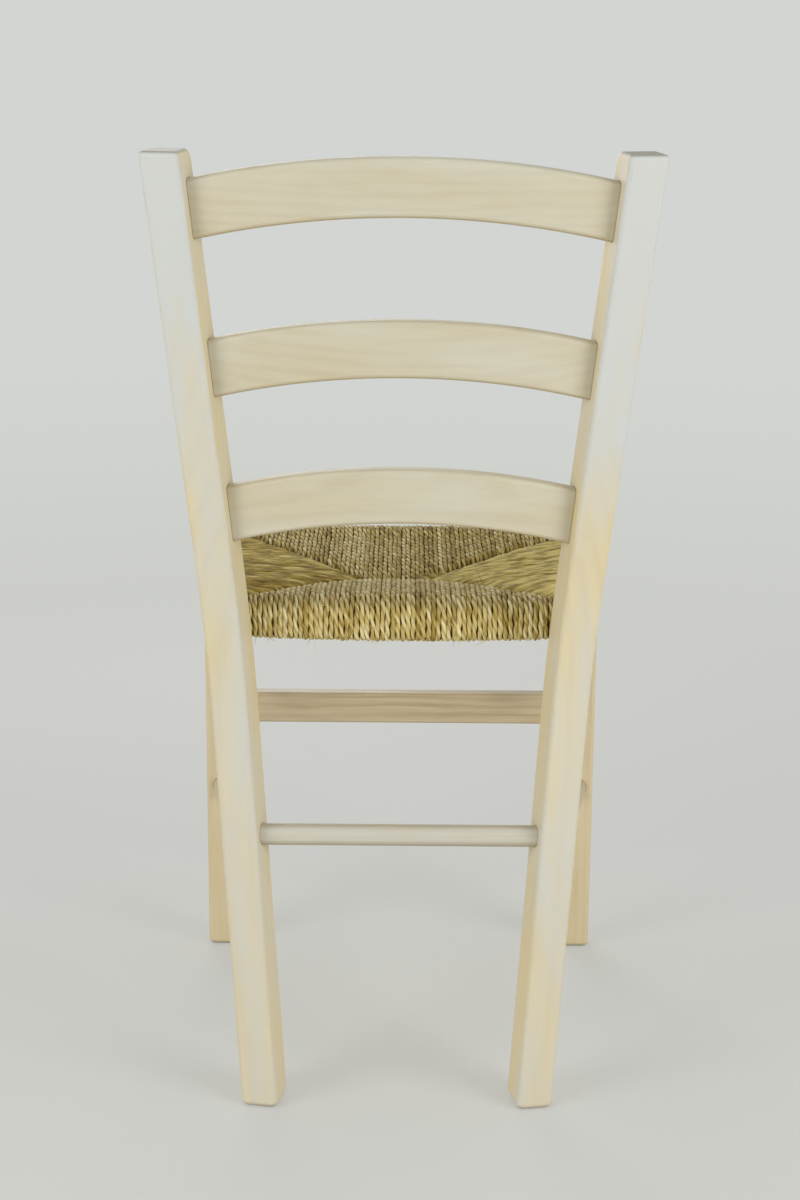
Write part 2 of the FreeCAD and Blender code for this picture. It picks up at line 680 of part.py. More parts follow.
# Straw packing and rush. Each panel has a frame at the middle of its rail with X along the rail and
# Y toward the middle of the seat; its plan is laid out in the chair's own frame.
place("front_run", "bridge_y - leg_mid_y")
place("rear_run", "rear_rail_y - bridge_y")
place("side_off_x", "side_rail_mid_x - Sizes.bridge_half")
place("side_off_y", "side_rail_mid_y - bridge_y")
place("side_run", "side_off_x * cos(side_rail_angle) + side_off_y * sin(side_rail_angle)")
place("side_bridge", "side_off_x * sin(side_rail_angle) - side_off_y * cos(side_rail_angle)")
place(
    "side_rear",
    "(side_rail_mid_x - rim_rear_x) * sin(side_rail_angle)"
    " + (rush_rear_y - side_rail_mid_y) * cos(side_rail_angle)",
)
place(
    "side_front",
    "(side_rail_mid_x - leg_inner) * sin(side_rail_angle)"
    " + (leg_rear_y - side_rail_mid_y) * cos(side_rail_angle)",
)
place("nose_in", "nose - rim")
place("packing_top", "rail_top - Sizes.panel_gap")
place("packing_bottom", "rail_top - Sizes.rail_height + Sizes.panel_gap")
place("tip_mid", "(dip_top + dip_bottom) / 2")


def packing(label, frame, run, wide, narrow):
    """Make one tapering wedge of straw behind a rail, thin toward the middle of the seat.

    wide and narrow are the formulas of where it starts and ends along the rail, at the rail and
    at its thin end.
    """
    item = doc.addObject("Part::Wedge", label + "_wedge")
    for side, text in (
        ("Xmin", wide[0]), ("Xmax", wide[1]), ("X2min", narrow[0]), ("X2max", narrow[1]),
        ("Ymin", "Places.rim"), ("Ymax", run + " - Sizes.packing_setback"),
        ("Zmin", "Places.packing_bottom"), ("Zmax", "Places.packing_top"),
        ("Z2min", "Places.tip_mid - Sizes.packing_tip / 2"),
        ("Z2max", "Places.tip_mid + Sizes.packing_tip / 2"),
    ):
        item.setExpression(side, text)
    item.setExpression("Placement", frame)
    return finish_node(item, label)


def panel(label, frame, run, length, corners, tools):
    """Make one rush panel: a crowned profile along its rail, cropped to its plan, then hollowed."""
    place(label + "_crown", "(%s ^ 2 + Sizes.seat_dip ^ 2) / (2 * Sizes.seat_dip)" % run)
    place(label + "_belly",
          "(%s ^ 2 + Sizes.seat_underdip ^ 2) / (2 * Sizes.seat_underdip)" % run)
    body = doc.addObject("PartDesign::Body", label + "_profile_body")
    profile = outline(
        body, label + "_profile", "YZ_Plane",
        (
            ("nose_in", "rim_bottom"),
            ("0", "rim_bottom"),
            (run, "dip_bottom"),
            (run, "dip_top"),
            ("0", "rim_top"),
            ("nose_in", "rim_top"),
            ("-rim", "nose_top"),
            ("-rim", "nose_bottom"),
        ),
        {1: label + "_belly", 3: label + "_crown", 5: "nose", 7: "nose"},
    )
    pad(body, profile, label + "_length", length)
    body.setExpression("Placement", frame)
    crop = doc.addObject("PartDesign::Body", label + "_plan_body")
    pad(crop, outline(crop, label + "_plan", "XY_Plane", corners), label + "_plan_height",
        "4 * Sizes.rail_height")
    crop.setExpression("Placement", at("0", "0", "Places.rail_mid"))
    whole = overlap(label + "_whole", [body, crop])
    return finish_node(cut(label + "_hollowed", whole, tools), label)


# Places of the packing along each rail, a margin inside the mitres.
for name, outer, reach in (
    ("front", "leg_inner", "(front_run - Sizes.leg_side / 2)"),
    ("rear", "rim_rear_x", "(rear_run + rim)"),
):
    slope = "(%s - Sizes.bridge_half) / %s" % (outer, reach)
    place("packing_%s_wide" % name,
          "%s - Sizes.packing_margin%s" % (outer, "" if name == "front" else
                                           " - 2 * rim * " + slope))
    place("packing_%s_narrow" % name,
          "Sizes.bridge_half + Sizes.packing_setback * %s - Sizes.packing_margin" % slope)
for name, sign in (("rear", "-"), ("front", "+")):
    slope = "(side_%s - side_bridge) / (side_run + rim)" % name
    place("packing_side_%s_wide" % name,
          "side_bridge + (side_run - rim) * %s %s Sizes.packing_margin" % (slope, sign))
    place("packing_side_%s_narrow" % name,
          "side_bridge + Sizes.packing_setback * %s %s Sizes.packing_margin" % (slope, sign))

seat_frames = {
    "front": at("0", "Places.leg_mid_y", "0"),
    "rear": at("0", "Places.rear_rail_y", "0", "rotationz(180)"),
}
straw = {}
for side in ("front", "rear"):
    wide = "Places.packing_%s_wide" % side
    narrow = "Places.packing_%s_narrow" % side
    straw[side] = packing("straw_packing_" + side, seat_frames[side],
                          "Places.%s_run" % side, ("-" + wide, wide), ("-" + narrow, narrow))
for side, hand in SIDES:
    seat_frames[side] = side_frame("side_rail", hand, "0") + " * " + at(
        "0", "0", "0", "rotationz(%d)" % (90 * hand)
    )
    ends = ("front", "rear") if hand > 0 else ("rear", "front")
    spans = [
        ["%d * Places.packing_side_%s_%s" % (hand, end, which) for end in ends]
        for which in ("wide", "narrow")
    ]
    straw[side] = packing("straw_packing_" + side, seat_frames[side], "Places.side_run", *spans)

# Seams between the panels, and the valleys that the mitres form in both faces of the seat.
place("mitre_front",
      "atan((leg_inner - Sizes.bridge_half) / (bridge_y - leg_rear_y))")
place("mitre_rear",
      "atan((rim_rear_x - Sizes.bridge_half) / (rush_rear_y - bridge_y))")
place("mitre_front_long", "(bridge_y - leg_rear_y) / cos(mitre_front)")
place("mitre_rear_long", "(rush_rear_y - bridge_y) / cos(mitre_rear)")
place("valley_front_top", "atan(Sizes.seat_dip / mitre_front_long)")
place("valley_rear_top", "atan(Sizes.seat_dip / mitre_rear_long)")
place("valley_front_under", "atan(Sizes.seat_underdip / mitre_front_long)")
place("valley_rear_under", "atan(Sizes.seat_underdip / mitre_rear_long)")
seams = [
    box("bridge_seam", at("0", "Places.bridge_y", "Places.rail_mid"),
        ("-Sizes.bridge_half", "-Sizes.panel_gap / 2", "-Sizes.rail_height"),
        ("2 * Sizes.bridge_half", "Sizes.panel_gap", "2 * Sizes.rail_height"))
]
leg_rooms = []
for side, hand in SIDES:
    for end, heading in (("front", -1), ("rear", 1)):
        turn = "rotationz(%d * Places.mitre_%s)" % (-hand * heading, end)
        long = "Places.mitre_%s_long" % end
        name = "mitre_%s_%s" % (end, side)
        start = at("%d * Sizes.bridge_half" % hand, "Places.bridge_y", "Places.rail_mid", turn)
        low_y = "0" if heading > 0 else "-%s" % long
        seams.append(
            box(name + "_seam", start,
                ("-Sizes.panel_gap / 2", low_y, "-Sizes.rail_height"),
                ("Sizes.panel_gap", long, "2 * Sizes.rail_height"))
        )
        for face, dip, lift in (("top", "dip_top", 1), ("under", "dip_bottom", -1)):
            tilt = "rotationx(%d * Places.valley_%s_%s)" % (heading * lift, end, face)
            middle = at("%d * Sizes.bridge_half" % hand, "Places.bridge_y",
                        "Places.%s" % dip, turn + " * " + tilt)
            axis = middle + " * " + at(
                "0", "%d * %s / 2" % (heading, long),
                "%d * (Sizes.valley_radius - Sizes.valley_depth)" % lift, "rotationx(90)"
            )
            seams.append(cylinder(name + "_valley_" + face, axis, "Sizes.valley_radius", long))
    leg_rooms.append(
        box("leg_room_" + side,
            at("%d * Places.leg_mid_x" % hand, "Places.leg_mid_y", "0"),
            ("-Sizes.leg_side / 2 - Sizes.panel_gap", "-Sizes.leg_side / 2 - Sizes.panel_gap",
             "0"),
            ("Sizes.leg_side + 2 * Sizes.panel_gap", "Sizes.leg_side + 2 * Sizes.panel_gap",
             "Sizes.leg_height"))
    )
seat_joints = join("seat_joints", seams)
legs_in_seat = join("legs_in_seat", leg_rooms)

panel("rush_panel_front", seat_frames["front"], "front_run", "Sizes.front_width",
      (("-leg_inner", "rush_front_y"), ("leg_inner", "rush_front_y"),
       ("leg_inner", "leg_rear_y"), ("bridge_half", "bridge_y"),
       ("-bridge_half", "bridge_y"), ("-leg_inner", "leg_rear_y")),
      [straw["front"], front_rail_room, legs_in_seat, seat_joints])
panel("rush_panel_rear", seat_frames["rear"], "rear_run", "Sizes.front_width",
      (("-bridge_half", "bridge_y"), ("bridge_half", "bridge_y"),
       ("rim_rear_x", "rush_rear_y"), ("-rim_rear_x", "rush_rear_y")),
      [straw["rear"], rear_rail_room, side_rail_rooms["left"], side_rail_rooms["right"],
       seat_joints])
for side, hand in SIDES:
    minus = "" if hand > 0 else "-"
    panel("rush_panel_" + side, seat_frames[side], "side_run", "2 * Places.side_rail_long",
          ((minus + "bridge_half", "bridge_y"), (minus + "leg_inner", "leg_rear_y"),
           (minus + "rim_front_x", "leg_rear_y"), (minus + "rim_rear_x", "rush_rear_y")),
          [straw[side], side_rail_rooms[side], rear_rail_room, legs_in_seat, seat_joints])

doc.recompute()
os.makedirs("parts", exist_ok=True)
for item in doc.Objects:
    if "Invalid" in item.State or "Error" in item.State:
        raise RuntimeError("%s did not build: %s" % (item.Name, item.State))
for label, item in nodes.items():
    if item.Shape.isNull() or not item.Shape.isValid():
        raise RuntimeError("%s has no valid shape" % label)
    item.Shape.exportStep("parts/%s.step" % label)
    extent = item.Shape.BoundBox
    print("%-24s solids %d  volume %9.0f  z %6.1f to %6.1f" % (
        label, len(item.Shape.Solids), item.Shape.Volume, extent.ZMin, extent.ZMax))
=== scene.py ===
import math

import bpy
import numpy as np
from mathutils import Matrix, Vector


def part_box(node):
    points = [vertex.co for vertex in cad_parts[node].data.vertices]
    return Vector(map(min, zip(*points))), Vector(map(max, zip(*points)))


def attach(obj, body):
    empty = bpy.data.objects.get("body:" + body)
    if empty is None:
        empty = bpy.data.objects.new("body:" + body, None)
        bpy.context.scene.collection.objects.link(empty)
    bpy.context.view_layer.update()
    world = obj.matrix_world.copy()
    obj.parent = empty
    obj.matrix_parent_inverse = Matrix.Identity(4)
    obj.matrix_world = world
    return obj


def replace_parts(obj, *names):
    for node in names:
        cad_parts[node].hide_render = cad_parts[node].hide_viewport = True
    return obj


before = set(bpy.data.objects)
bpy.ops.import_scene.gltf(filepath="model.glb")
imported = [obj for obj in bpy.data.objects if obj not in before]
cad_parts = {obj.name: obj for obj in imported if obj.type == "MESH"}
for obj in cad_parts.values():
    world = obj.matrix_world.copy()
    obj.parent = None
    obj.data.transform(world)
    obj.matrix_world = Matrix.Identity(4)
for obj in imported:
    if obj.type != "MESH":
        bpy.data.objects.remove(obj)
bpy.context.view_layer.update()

MM = 0.001
TAU = 2 * math.pi

# The photograph's camera stands behind the chair and looks down on its back.
PHOTO_HEIGHT = 1200
FOCAL_PIXELS = 1941.7
CAMERA_PLACE = (-0.0030, 1.8648, 0.8681)
CAMERA_PITCH = math.radians(12.69)
CAMERA_YAW = math.radians(0.118)
CAMERA_ROLL = math.radians(0.422)

# Rush seat, in metres; its plan and its rim come from the solids.
front_low, front_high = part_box("rush_panel_front")
rear_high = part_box("rush_panel_rear")[1]
left_low, left_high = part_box("rush_panel_left")
leg_low, leg_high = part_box("front_leg_left")
front_rail_low, front_rail_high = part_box("seat_rail_front")
rear_rail_low, rear_rail_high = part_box("seat_rail_rear")
RIM_TOP = front_high.z
RIM_BOTTOM = front_low.z
LEG_INNER = leg_low.x
LEG_BACK = leg_high.y
BRIDGE_Y = front_high.y
REAR_CORNER_X = rear_high.x
REAR_Y = rear_high.y
# Woven by hand, the mitres meet off the middle, 35 mm to the sitter's left and 17 mm to the right,
# and they end a little inside the legs and the posts.
BRIDGE_LEFT = left_low.x + 9.8 * MM
BRIDGE_RIGHT = left_low.x - 8.2 * MM
FRONT_MITRE_X = LEG_INNER - 14 * MM
REAR_MITRE_X = REAR_CORNER_X - 10 * MM
FRONT_RAIL_Y = (front_rail_low.y + front_rail_high.y) / 2
REAR_RAIL_Y = (rear_rail_low.y + rear_rail_high.y) / 2
RIM = REAR_Y - REAR_RAIL_Y
SIDE_SLOPE = (left_high.x - REAR_CORNER_X) / (REAR_Y - LEG_BACK)
SIDE_COS = 1 / math.hypot(1, SIDE_SLOPE)
NOSE_TOP = 11 * MM
NOSE_UNDER = 10 * MM
SEAT_DIP = 14 * MM
SEAT_UNDERDIP = 10 * MM
CORE_INSET = 3.4 * MM

# Where a mitre crosses the nose, a strand skips its bend's arc up to this sine at most.
MOST_SKIPPED = 0.97

# How far the middle of a panel is stuffed out beyond its solid, above and below. The swelling is
# most at a place inside the rail and fades on both sides of it within a reach.
STUFFED_TOP = {"front": 6.2 * MM, "rear": 0.8 * MM, "side": 1.5 * MM}
STUFFED_UNDER = {"front": 2.0 * MM, "rear": 7.5 * MM, "side": 1.5 * MM}
STUFFED_PLACE = 12 * MM
STUFFED_REACH = 24 * MM

# Between the posts the rear panel bulges back, over a length across its rail, and slopes down to
# its edge.
REAR_BULGE = 9 * MM
BULGE_LENGTH = 16 * MM
REAR_SLOPE = 4 * MM

# A strand runs on past its mitre. There it tucks in: halfway at a place so far inside the mitre,
# and within a length on each side of it. A broader valley leads there. Both set in at a distance
# inside the rail and are full after a further length.
OVERRUN = 4 * MM
TUCK_DEPTH = 7 * MM
TUCK_PLACE = {"front": 1.2 * MM, "rear": 1.2 * MM, "side": 4.5 * MM}
TUCK_LENGTH = {"front": 1.2 * MM, "rear": 1.2 * MM, "side": 2.4 * MM}
VALLEY_DEPTH = {"front": 1.2 * MM, "rear": 1.2 * MM, "side": 3.0 * MM}
VALLEY_REACH = 15 * MM
SINK_START = 8 * MM
SINK_GROWTH = 14 * MM

# The swirl of a side panel's strands starts behind the bridge, grows toward the rear over a length
# and fades along each strand.
SWIRL_START = 5 * MM
SWIRL_GROWTH = 50 * MM
SWIRL_FADE = 24 * MM

# A strand is thinner within the first of these lengths of its ends, and darker within the second
# as painted shade. The rear panel is darker within the last length of a post, as painted shade,
# and rusty there on the sitter's right.
END_TAPER = 5 * MM
END_SHADOW = 6 * MM
SHADE_AND_RUST_REACH = 9 * MM

# The pale tuft on the rear panel's right-hand mitre, and the way it points.
TUFT_PLACE = (-0.079, 0.026, 0.4675)
TUFT_HEADING = (0.6, 0.5, 0.25)

RUNS = {
    "front": BRIDGE_Y - FRONT_RAIL_Y,
    "rear": REAR_RAIL_Y - BRIDGE_Y,
    "side": left_high.x - RIM / SIDE_COS - (BRIDGE_Y - LEG_BACK) * SIDE_SLOPE - left_low.x,
}


def linear(code):
    """Turn an sRGB hex colour into the linear colour that shaders work in."""
    values = [int(code[place:place + 2], 16) / 255 for place in (1, 3, 5)]
    return tuple(v / 12.92 if v <= 0.04045 else ((v + 0.055) / 1.055) ** 2.4 for v in values) + (1,)


def add(tree, kind, inputs=(), stops=(), **settings):
    """Add a shader node: its settings, a socket or a value for each input, its ramp's colours."""
    node = tree.nodes.new(kind)
    for name, value in settings.items():
        setattr(node, name, value)
    for name, value in dict(inputs).items():
        if isinstance(value, bpy.types.NodeSocket):
            tree.links.new(value, node.inputs[name])
        else:
            node.inputs[name].default_value = value
    for number, (place, code) in enumerate(stops):
        points = node.color_ramp.elements
        point = points[number] if number < len(points) else points.new(place)
        point.position = place
        point.color = linear(code)
    return node


def new_material(name):
    """Start a material and return it with its node tree and its surface shader."""
    material = bpy.data.materials.new(name)
    material.use_nodes = True
    tree = material.node_tree
    tree.nodes.clear()
    shader = add(tree, "ShaderNodeBsdfPrincipled")
    add(tree, "ShaderNodeOutputMaterial", {"Surface": shader.outputs[0]})
    return material, tree, shader


def grain_noise(tree, grain, along, across, detail, low, high, top):
    """Noise with patches of a length along the grain and a width across it, in metres.

    What lies between low and high is spread from nothing to top.
    """
    stretched = add(tree, "ShaderNodeVectorMath",
                    {0: grain, 1: (1 / along, 1 / across, 1 / across)}, operation="MULTIPLY")
    noise = add(tree, "ShaderNodeTexNoise",
                {"Vector": stretched.outputs["Vector"], "Scale": 1.0, "Detail": detail,
                 "Roughness": 0.55})
    spread_out = add(tree, "ShaderNodeMapRange",
                     {"Value": noise.outputs["Fac"], "From Min": low, "From Max": high,
                      "To Max": top})
    return spread_out.outputs["Result"]


def bleached_beech(name, turn, wash, body, figure, figured, rear_white=(0.0, 0.0),
                   pith=(0.0, 0.0)):
    """Beech under a thin white wash and satin varnish: pale growth lines, short dark ray flecks.

    turn lays the grain along local X. wash, body and figure are the colours of the wash, the wood
    and its darker lines, and figured is how strong the lines are. rear_white is how much whiter
    the sides that face the rear are, up to 55 cm above the floor and from 80 cm up. pith places the
    middle of the growth rings across the grain, in metres.
    """
    material, tree, shader = new_material(name)
    place = add(tree, "ShaderNodeTexCoord").outputs["Object"]
    grain = add(tree, "ShaderNodeMapping",
                {"Vector": place, "Rotation": turn, "Location": (0.0, *pith)}).outputs["Vector"]

    # Growth rings 9 mm apart that wander over 20 mm across the grain and 120 mm along it.
    drawn = add(tree, "ShaderNodeVectorMath", {0: grain, 1: (0.17, 1.0, 1.0)},
                operation="MULTIPLY").outputs["Vector"]
    rings = add(tree, "ShaderNodeTexWave",
                {"Vector": drawn, "Scale": 0.314 / 0.009, "Distortion": 4.0, "Detail": 2.0,
                 "Detail Scale": 1.4, "Detail Roughness": 0.5},
                wave_type="RINGS", rings_direction="X").outputs["Fac"]
    lines = add(tree, "ShaderNodeMapRange",
                {"Value": rings, "From Min": 0.35, "From Max": 1.0, "To Max": figured}
                ).outputs["Result"]
    streaks = grain_noise(tree, grain, 0.080, 0.0013, 3.0, 0.42, 0.72, figured * 0.8)
    flecks = grain_noise(tree, grain, 0.0030, 0.0005, 1.0, 0.64, 0.74, 0.25)
    warmth = grain_noise(tree, grain, 0.150, 0.030, 2.0, 0.35, 0.65, figured * 0.7)
    colour = linear(body)
    for amount in (warmth, lines, streaks, flecks):
        colour = add(tree, "ShaderNodeMix", {0: amount, 6: colour, 7: linear(figure)},
                     data_type="RGBA").outputs[2]

    # The wash lies in patches, and thicker on the sides that face the rear.
    cover = grain_noise(tree, grain, 0.200, 0.030, 3.0, 0.30, 0.70, 0.65)
    normal = add(tree, "ShaderNodeNewGeometry").outputs["Normal"]
    facing = add(tree, "ShaderNodeSeparateXYZ", {"Vector": normal}).outputs
    height = add(tree, "ShaderNodeSeparateXYZ", {"Vector": place}).outputs["Z"]
    thick = add(tree, "ShaderNodeMapRange",
                {"Value": height, "From Min": 0.55, "From Max": 0.80, "To Min": rear_white[0],
                 "To Max": rear_white[1]}).outputs["Result"]
    rearward = add(tree, "ShaderNodeMapRange",
                   {"Value": facing["Y"], "From Min": 0.3, "From Max": 0.65, "To Max": thick}
                   ).outputs["Result"]
    covered = add(tree, "ShaderNodeMath", {0: cover, 1: rearward}, operation="ADD",
                  use_clamp=True).outputs[0]

    # Sides that face downward are darker: painted shade.
    underside_shade = add(tree, "ShaderNodeMapRange",
               {"Value": facing["Z"], "From Min": -0.2, "From Max": -0.8, "To Max": 0.75}
               ).outputs["Result"]

    # End grain drinks the stain and turns grey and dull; on the post tops the grey is also painted
    # shade.
    along = add(tree, "ShaderNodeMapping", {"Vector": normal, "Rotation": turn},
                vector_type="VECTOR").outputs["Vector"]
    along = add(tree, "ShaderNodeSeparateXYZ", {"Vector": along}).outputs["X"]
    along = add(tree, "ShaderNodeMath", {0: along}, operation="ABSOLUTE").outputs[0]
    end_grain_and_shade = add(tree, "ShaderNodeMapRange",
                    {"Value": along, "From Min": 0.4, "From Max": 0.8, "To Max": 0.8}
                    ).outputs["Result"]

    # Within 1.5 mm of a joint or of the floor, occluded places turn a thin dark line: painted
    # shade, standing also for glaze and dust in the joints.
    corner = add(tree, "ShaderNodeAmbientOcclusion", {"Distance": 0.0015}, samples=4).outputs["AO"]
    joint_shade = add(tree, "ShaderNodeMapRange",
                   {"Value": corner, "From Min": 0.35, "From Max": 0.85, "To Min": 0.75,
                    "To Max": 0.0}).outputs["Result"]

    layers = ((covered, wash), (underside_shade, figure), (end_grain_and_shade, "#a5a294"), (joint_shade, "#7d6a4c"))
    for amount, code in layers:
        colour = add(tree, "ShaderNodeMix", {0: amount, 6: colour, 7: linear(code)},
                     data_type="RGBA").outputs[2]
    tree.links.new(colour, shader.inputs["Base Color"])

    shader.inputs["IOR"].default_value = 1.5
    gloss = add(tree, "ShaderNodeMapRange", {"Value": end_grain_and_shade, "To Min": 0.5, "To Max": 0.0})
    tree.links.new(gloss.outputs["Result"], shader.inputs["Specular IOR Level"])
    rough = add(tree, "ShaderNodeMapRange", {"Value": streaks, "To Min": 0.45, "To Max": 0.65})
    tree.links.new(rough.outputs["Result"], shader.inputs["Roughness"])
    bump = add(tree, "ShaderNodeBump", {"Height": streaks, "Strength": 0.3, "Distance": 0.0003})
    tree.links.new(bump.outputs["Normal"], shader.inputs["Normal"])
    return material


def twisted_sedge(name, shades, across, grey):
    """Dried sedge twisted by hand: dull golden fibres, greenish and brown here and there.

    shades run from the darkest fibre to the lightest, and a fibre is so far across, in metres.
    grey is how far what faces upward is turned a dull grey. Grooves are darker too, most
    where they face upward: painted shade.
    """
    material, tree, shader = new_material(name)
    lay = add(tree, "ShaderNodeUVMap", uv_map="Lay").outputs["UV"]
    tone, groove, rust = [
        add(tree, "ShaderNodeAttribute", attribute_name=word).outputs["Fac"]
        for word in ("tone", "groove", "rust")
    ]

    # Fibres 30 mm long, and soft patches of colour 25 mm long.
    fibres = grain_noise(tree, lay, 0.030, across, 3.0, 0.28, 0.72, 1.0)
    patches = grain_noise(tree, lay, 0.025, 0.012, 1.0, 0.25, 0.75, 0.5)
    light = add(tree, "ShaderNodeMath", {0: fibres, 1: patches}, operation="ADD").outputs[0]
    light = add(tree, "ShaderNodeMath", {0: light, 1: tone}, operation="ADD").outputs[0]
    light = add(tree, "ShaderNodeMath", {0: light, 1: 0.25}, operation="SUBTRACT").outputs[0]
    colour = add(tree, "ShaderNodeValToRGB", {"Fac": light}, shades).outputs["Color"]
    normal = add(tree, "ShaderNodeNewGeometry").outputs["Normal"]
    upward = add(tree, "ShaderNodeSeparateXYZ", {"Vector": normal}).outputs["Z"]
    dulled = add(tree, "ShaderNodeMapRange",
                 {"Value": upward, "From Min": 0.3, "From Max": 1.0, "To Max": grey}
                 ).outputs["Result"]
    # The grooves' darkening is painted shade, strongest where they face upward.
    groove_shade_weight = add(tree, "ShaderNodeMapRange",
               {"Value": upward, "From Max": 0.9, "To Min": 0.5, "To Max": 0.85}).outputs["Result"]
    painted_lighting = add(tree, "ShaderNodeMath", {0: groove, 1: groove_shade_weight}, operation="MULTIPLY").outputs[0]
    for amount, code in ((dulled, "#a3977b"), (rust, "#8a5327"), (painted_lighting, "#5f4a22")):
        colour = add(tree, "ShaderNodeMix", {0: amount, 6: colour, 7: linear(code)},
                     data_type="RGBA").outputs[2]
    tree.links.new(colour, shader.inputs["Base Color"])
    shader.inputs["Roughness"].default_value = 0.6
    shader.inputs["Specular IOR Level"].default_value = 0.08
    bump = add(tree, "ShaderNodeBump", {"Height": fibres, "Strength": 0.5, "Distance": 0.0004})
    tree.links.new(bump.outputs["Normal"], shader.inputs["Normal"])
    return material


def packed_straw():
    """Straw packing seen only in the gaps between turns: brown, and darker as painted shade."""
    material, tree, shader = new_material("packed straw in painted shade")
    place = add(tree, "ShaderNodeTexCoord").outputs["Object"]
    stalks = grain_noise(tree, place, 0.010, 0.002, 2.0, 0.3, 0.7, 1.0)
    colour = add(tree, "ShaderNodeValToRGB", {"Fac": stalks},
                 ((0.0, "#32260f"), (1.0, "#64501f"))).outputs["Color"]
    tree.links.new(colour, shader.inputs["Base Color"])
    shader.inputs["Roughness"].default_value = 0.9
    return material


def mesh_piece(name, points, quads, caps, material, uv=None, layers=()):
    """Put arrays of points, four-sided faces and end caps into one smooth piece.

    uv holds one pair for each corner of the quads, in their order; layers are named arrays of one
    number a point.
    """
    mesh = bpy.data.meshes.new(name)
    corners = np.concatenate([quads.ravel(), caps.ravel()])
    starts = np.concatenate([
        np.arange(len(quads)) * 4,
        len(quads) * 4 + np.arange(len(caps)) * caps.shape[1],
    ])
    mesh.vertices.add(len(points))
    mesh.vertices.foreach_set("co", points.astype(np.float32).ravel())
    mesh.loops.add(len(corners))
    mesh.loops.foreach_set("vertex_index", corners.astype(np.int32))
    mesh.polygons.add(len(starts))
    mesh.polygons.foreach_set("loop_start", starts.astype(np.int32))
    mesh.polygons.foreach_set("use_smooth", np.ones(len(starts), bool))
    mesh.update(calc_edges=True)
    if uv is not None:
        layer = mesh.uv_layers.new(name="Lay")
        pairs = np.zeros((len(corners), 2), np.float32)
        pairs[:len(uv)] = uv
        layer.data.foreach_set("uv", pairs.ravel())
    for label, values in layers:
        layer = mesh.attributes.new(label, "FLOAT", "POINT")
        layer.data.foreach_set("value", values.astype(np.float32).ravel())
    mesh.materials.append(material)
    piece = bpy.data.objects.new(name, mesh)
    bpy.context.scene.collection.objects.link(piece)
    return piece


def side_of(first, second, x, y):
    """Distance of a point from the line through two plan points, positive on its left."""
    run, rise = second[0] - first[0], second[1] - first[1]
    return (run * (y - first[1]) - rise * (x - first[0])) / np.hypot(run, rise)


def depth_inside(panel, x, y):
    """Distance in plan from a point to the nearest mitre of its panel, negative outside."""
    bridge = (np.where(x > 0, BRIDGE_LEFT, BRIDGE_RIGHT), BRIDGE_Y)
    past_front = side_of(bridge, (FRONT_MITRE_X, LEG_BACK), np.abs(x), y)
    past_rear = side_of(bridge, (REAR_MITRE_X, REAR_Y), np.abs(x), y)
    if panel == "front":
        return np.minimum(-past_front, BRIDGE_Y - y)
    if panel == "rear":
        return np.minimum(past_rear, y - BRIDGE_Y)
    return np.minimum(past_front, -past_rear)


def rail_line(panel, along, hand):
    """Where strands cross the middle of a rail, which way is inward, and how far they reach.

    The front and rear rails run along X, and the side rails close in toward the rear by a fixed
    slope. The mitres are straight in plan, so the distance inward changes evenly along a rail.
    Every strand runs on past its mitre by the same length.
    """
    if panel == "side":
        x = left_high.x - RIM / SIDE_COS - (along - LEG_BACK) * SIDE_SLOPE
        bridge = BRIDGE_LEFT if hand > 0 else BRIDGE_RIGHT
        mitre = np.interp(along, (LEG_BACK, BRIDGE_Y, REAR_Y),
                          (FRONT_MITRE_X, bridge, REAR_MITRE_X))
        return hand * x, along, (-hand, 0.0), x - mitre + OVERRUN
    bridge = np.where(along > 0, BRIDGE_LEFT, BRIDGE_RIGHT)
    if panel == "front":
        share = np.clip((np.abs(along) - bridge) / (FRONT_MITRE_X - bridge), 0, 1)
        reach = RUNS["front"] + share * (LEG_BACK - FRONT_RAIL_Y - RUNS["front"])
        return along, np.full_like(along, FRONT_RAIL_Y), (0.0, 1.0), reach + OVERRUN
    share = np.clip((np.abs(along) - bridge) / (REAR_MITRE_X - bridge), 0, 1)
    reach = RUNS["rear"] - share * (RUNS["rear"] + RIM)
    return along, np.full_like(along, REAR_RAIL_Y), (0.0, -1.0), reach + OVERRUN


def wrap_parts(reach, radius):
    """Lengths of a strand's parts, how much of its upper bend it skips, and its whole length.

    The parts are the top, the bend over the nose, the face, the lower bend and the bottom. Near a
    corner the mitre crosses the nose, and a strand starts and ends partway round its bends: it
    skips the arc whose sine is the top that is missing over the radius of the bend.
    """
    upper, lower = NOSE_TOP - radius, NOSE_UNDER - radius
    top, bottom = reach + RIM - NOSE_TOP, reach + RIM - NOSE_UNDER
    face = RIM_TOP - RIM_BOTTOM - NOSE_TOP - NOSE_UNDER
    skip = upper * np.arcsin(np.clip(-top / upper, 0, MOST_SKIPPED))
    short = lower * np.arcsin(np.clip(-bottom / lower, 0, MOST_SKIPPED))
    parts = (np.maximum(top, 0), upper * np.pi / 2, face, lower * np.pi / 2,
             np.maximum(bottom, 0))
    return parts, skip, sum(parts) - skip - short


